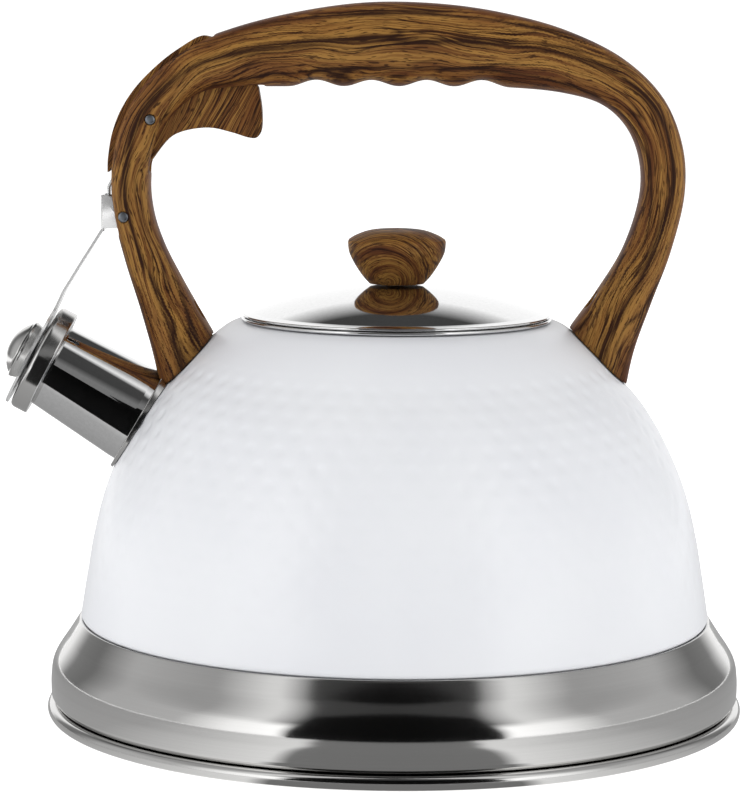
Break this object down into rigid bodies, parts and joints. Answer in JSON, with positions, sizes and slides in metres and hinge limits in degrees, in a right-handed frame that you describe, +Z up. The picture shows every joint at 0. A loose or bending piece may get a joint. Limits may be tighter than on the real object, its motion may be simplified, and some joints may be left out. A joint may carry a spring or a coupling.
{
  "type": "stovetop whistling kettle",
  "caption": "Stovetop whistling kettle: domed enamelled vessel on a wide steel base, lift-off lid, arched handle with a finger trigger that swings the whistle off the spout.",
  "frame": {"origin": "centre of the base's underside, on the vessel's axis", "axes": "+Z up along the vessel's axis, -X towards the spout, the handle in the XZ plane"},
  "size_m": [0.2306, 0.2176, 0.2215],
  "materials": {
    "enamel": "white enamel, satin gloss, hammered band",
    "satin_steel": "satin, brushed round",
    "polished_steel": "mirror polish",
    "pin_steel": "plain steel",
    "aluminium": "plain",
    "wood_look": "moulding with a printed striped wood grain, satin"
  },
  "bodies": {
    "vessel": {"body_shell": "enamel", "base_pan": "satin_steel", "base_capsule": "satin_steel", "heat_core": "aluminium", "seat_ring": "polished_steel", "spout_tube": "polished_steel", "spout_collar": "satin_steel", "spout_flange": "satin_steel", "handle": "wood_look", "front_bracket": "satin_steel", "rear_bracket": "satin_steel", "front_screw": "pin_steel", "rear_screw": "pin_steel", "trigger_pin": "pin_steel", "arm_pin": "pin_steel", "trigger_spring": "pin_steel", "arm_spring": "pin_steel"},
    "trigger": {"trigger": "wood_look"},
    "whistle_arm": {"arm_strap": "polished_steel", "whistle_head": "polished_steel", "whistle_cap": "satin_steel", "whistle_cup": "polished_steel", "whistle_plate": "polished_steel"},
    "lid": {"lid_dome": "polished_steel", "lid_skirt": "satin_steel", "lid_knob": "wood_look", "lid_washer": "satin_steel", "knob_screw": "pin_steel"}
  },
  "joints": [
    {"name": "trigger_pull", "type": "hinge", "parent": "vessel", "child": "trigger", "pos_m": [-0.0759, 0, 0.1853], "axis": [0, -1, 0], "range_deg": [0, 14], "stiffness_Nm_per_rad": 0.06, "springref_deg": -14.32},
    {"name": "whistle_swing", "type": "hinge", "parent": "vessel", "child": "whistle_arm", "pos_m": [-0.0842, 0, 0.1553], "axis": [0, 1, 0], "range_deg": [0, 28], "stiffness_Nm_per_rad": 0.04, "springref_deg": -17.19},
    {"name": "lid_lift", "type": "slide", "parent": "vessel", "child": "lid", "axis": [0, 0, 1], "range_m": [0, 0.035]}
  ],
  "couplings": [
    {"joint": "whistle_swing", "follows": "trigger_pull", "ratio": 2}
  ]
}
